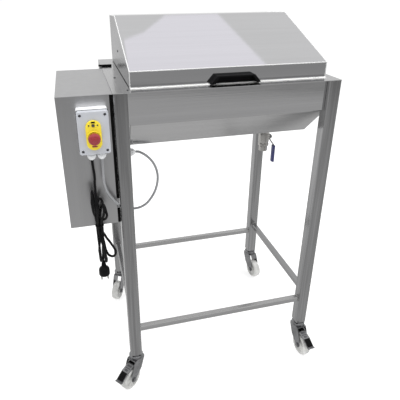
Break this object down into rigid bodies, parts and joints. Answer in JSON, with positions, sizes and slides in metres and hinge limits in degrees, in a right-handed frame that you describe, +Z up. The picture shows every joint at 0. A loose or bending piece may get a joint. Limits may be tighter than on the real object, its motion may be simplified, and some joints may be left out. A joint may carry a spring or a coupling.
{
  "type": "hammer mill",
  "caption": "Trough mill on a castered square-tube frame: hinged lid over a belt-driven hammer rotor and screen, side drive box, control box and bottom outlet valve.",
  "frame": {"origin": "on the floor, under the middle of the machine without its cords", "axes": "+X to the right, with the drive box on the left; +Y to the back, the operator stands at -Y; +Z up"},
  "size_m": [0.8053, 0.5983, 1.19],
  "materials": {
    "brushed_stainless": "brushed square tube and plain sheet",
    "polished_stainless": "mirror-bright sheet with faint grain",
    "machined_steel": "turned bright bar",
    "dark_steel": "dull machined steel",
    "nickelled_brass": "nickel plated",
    "zinc_plate": "bright zinc pressings",
    "white_nylon": "moulded nylon",
    "enclosure_grey": "light grey moulding",
    "gland_white": "moulded nylon",
    "plate_yellow": "yellow plate",
    "button_red": "red mushroom button",
    "grip_blue": "dipped vinyl sleeve",
    "black_plastic": "black plastic",
    "belt_rubber": "V-belt rubber",
    "cable_grey": "grey PVC cable",
    "motor_grey": "grey motor paint"
  },
  "bodies": {
    "machine": {"leg_front_left": "brushed_stainless", "leg_front_right": "brushed_stainless", "leg_rear_left": "brushed_stainless", "leg_rear_right": "brushed_stainless", "rail_front": "brushed_stainless", "rail_rear": "brushed_stainless", "rail_left": "brushed_stainless", "rail_right": "brushed_stainless", "screen": "brushed_stainless", "drive_plate": "brushed_stainless", "end_plate_left": "brushed_stainless", "rim_frame": "polished_stainless", "trough_pan": "polished_stainless", "drive_cover": "polished_stainless", "hinge_rod": "machined_steel", "bearing_left": "dark_steel", "bearing_right": "dark_steel", "valve_body": "nickelled_brass", "caster_head_front_left": "zinc_plate", "caster_head_front_right": "zinc_plate", "caster_head_rear_left": "zinc_plate", "caster_head_rear_right": "zinc_plate", "control_base": "enclosure_grey", "control_cover": "enclosure_grey", "gland_mains": "gland_white", "gland_motor": "gland_white", "gland_drive": "gland_white", "switch_plate": "plate_yellow", "lid_switch": "black_plastic", "mains_cord": "black_plastic", "mains_hank": "black_plastic", "mains_plug": "black_plastic", "drive_belt": "belt_rubber", "motor_cable": "cable_grey", "motor_body": "motor_grey"},
    "lid": {"lid_shell": "polished_stainless", "lid_pull": "black_plastic"},
    "rotor": {"rotor_shaft": "machined_steel", "rotor_drum": "dark_steel", "rotor_pulley": "dark_steel"},
    "motor_rotor": {"motor_pulley": "machined_steel"},
    "valve_handle": {"valve_ball": "nickelled_brass", "valve_lever": "machined_steel", "lever_grip": "grip_blue"},
    "stop_actuator": {"stop_button": "button_red"},
    "swing_front_1": {"hammer_front_1": "dark_steel"},
    "swing_front_2": {"hammer_front_2": "dark_steel"},
    "swing_rear_1": {"hammer_rear_1": "dark_steel"},
    "swing_rear_2": {"hammer_rear_2": "dark_steel"},
    "swivel_front_left": {"caster_fork_front_left": "zinc_plate"},
    "wheel_front_left": {"caster_wheel_front_left": "white_nylon"},
    "swivel_front_right": {"caster_fork_front_right": "zinc_plate"},
    "wheel_front_right": {"caster_wheel_front_right": "white_nylon"},
    "swivel_rear_left": {"caster_fork_rear_left": "zinc_plate"},
    "wheel_rear_left": {"caster_wheel_rear_left": "white_nylon"},
    "swivel_rear_right": {"caster_fork_rear_right": "zinc_plate"},
    "wheel_rear_right": {"caster_wheel_rear_right": "white_nylon"},
    "brake_front_left": {"brake_pedal_front_left": "zinc_plate"},
    "brake_front_right": {"brake_pedal_front_right": "zinc_plate"}
  },
  "joints": [
    {"name": "lid_hinge", "type": "hinge", "parent": "machine", "child": "lid", "pos_m": [0.0648, 0.2692, 1.0385], "axis": [-1, 0, 0], "range_deg": [0, 90]},
    {"name": "rotor_spin", "type": "hinge", "parent": "machine", "child": "rotor", "pos_m": [0.0648, 0.0347, 0.97], "axis": [1, 0, 0], "continuous": true},
    {"name": "motor_spin", "type": "hinge", "parent": "machine", "child": "motor_rotor", "pos_m": [-0.2917, -0.0213, 0.768], "axis": [1, 0, 0], "continuous": true},
    {"name": "hammer_swing_front_1", "type": "hinge", "parent": "rotor", "child": "swing_front_1", "pos_m": [-0.0517, -0.0003, 0.97], "axis": [1, 0, 0], "range_deg": [-200, 20]},
    {"name": "hammer_swing_front_2", "type": "hinge", "parent": "rotor", "child": "swing_front_2", "pos_m": [0.1883, -0.0003, 0.97], "axis": [1, 0, 0], "range_deg": [-200, 20]},
    {"name": "hammer_swing_rear_1", "type": "hinge", "parent": "rotor", "child": "swing_rear_1", "pos_m": [-0.0517, 0.0697, 0.97], "axis": [1, 0, 0], "range_deg": [-20, 200]},
    {"name": "hammer_swing_rear_2", "type": "hinge", "parent": "rotor", "child": "swing_rear_2", "pos_m": [0.1883, 0.0697, 0.97], "axis": [1, 0, 0], "range_deg": [-20, 200]},
    {"name": "valve_turn", "type": "hinge", "parent": "machine", "child": "valve_handle", "pos_m": [0.2833, 0.0347, 0.778], "axis": [-1, 0, 0], "range_deg": [0, 90]},
    {"name": "stop_press", "type": "slide", "parent": "machine", "child": "stop_actuator", "axis": [0, 1, 0], "range_m": [0, 0.005], "stiffness_N_per_m": 400},
    {"name": "caster_swivel_front_left", "type": "hinge", "parent": "machine", "child": "swivel_front_left", "pos_m": [-0.2427, -0.2023, 0.1], "axis": [0, 0, 1], "continuous": true},
    {"name": "wheel_roll_front_left", "type": "hinge", "parent": "swivel_front_left", "child": "wheel_front_left", "pos_m": [-0.26987, -0.22592, 0.039], "axis": [0.6561, -0.7547, 0], "continuous": true},
    {"name": "brake_press_front_left", "type": "hinge", "parent": "swivel_front_left", "child": "brake_front_left", "pos_m": [-0.25025, -0.20886, 0.0945], "axis": [0.6561, -0.7547, 0], "range_deg": [0, 10]},
    {"name": "caster_swivel_front_right", "type": "hinge", "parent": "machine", "child": "swivel_front_right", "pos_m": [0.3723, -0.2023, 0.1], "axis": [0, 0, 1], "continuous": true},
    {"name": "wheel_roll_front_right", "type": "hinge", "parent": "swivel_front_right", "child": "wheel_front_right", "pos_m": [0.37606, -0.2381, 0.039], "axis": [0.9945, 0.1045, 0], "continuous": true},
    {"name": "brake_press_front_right", "type": "hinge", "parent": "swivel_front_right", "child": "brake_front_right", "pos_m": [0.37335, -0.21225, 0.0945], "axis": [0.9945, 0.1045, 0], "range_deg": [0, 10]},
    {"name": "caster_swivel_rear_left", "type": "hinge", "parent": "machine", "child": "swivel_rear_left", "pos_m": [-0.2427, 0.2717, 0.1], "axis": [0, 0, 1], "continuous": true},
    {"name": "wheel_roll_rear_left", "type": "hinge", "parent": "swivel_rear_left", "child": "wheel_rear_left", "pos_m": [-0.2607, 0.24052, 0.039], "axis": [0.866, -0.5, 0], "continuous": true},
    {"name": "caster_swivel_rear_right", "type": "hinge", "parent": "machine", "child": "swivel_rear_right", "pos_m": [0.3723, 0.2717, 0.1], "axis": [0, 0, 1], "continuous": true},
    {"name": "wheel_roll_rear_right", "type": "hinge", "parent": "swivel_rear_right", "child": "wheel_rear_right", "pos_m": [0.37978, 0.23649, 0.039], "axis": [0.9781, 0.2079, 0], "continuous": true}
  ],
  "couplings": [
    {"joint": "motor_spin", "follows": "rotor_spin", "ratio": 1.5911}
  ]
}
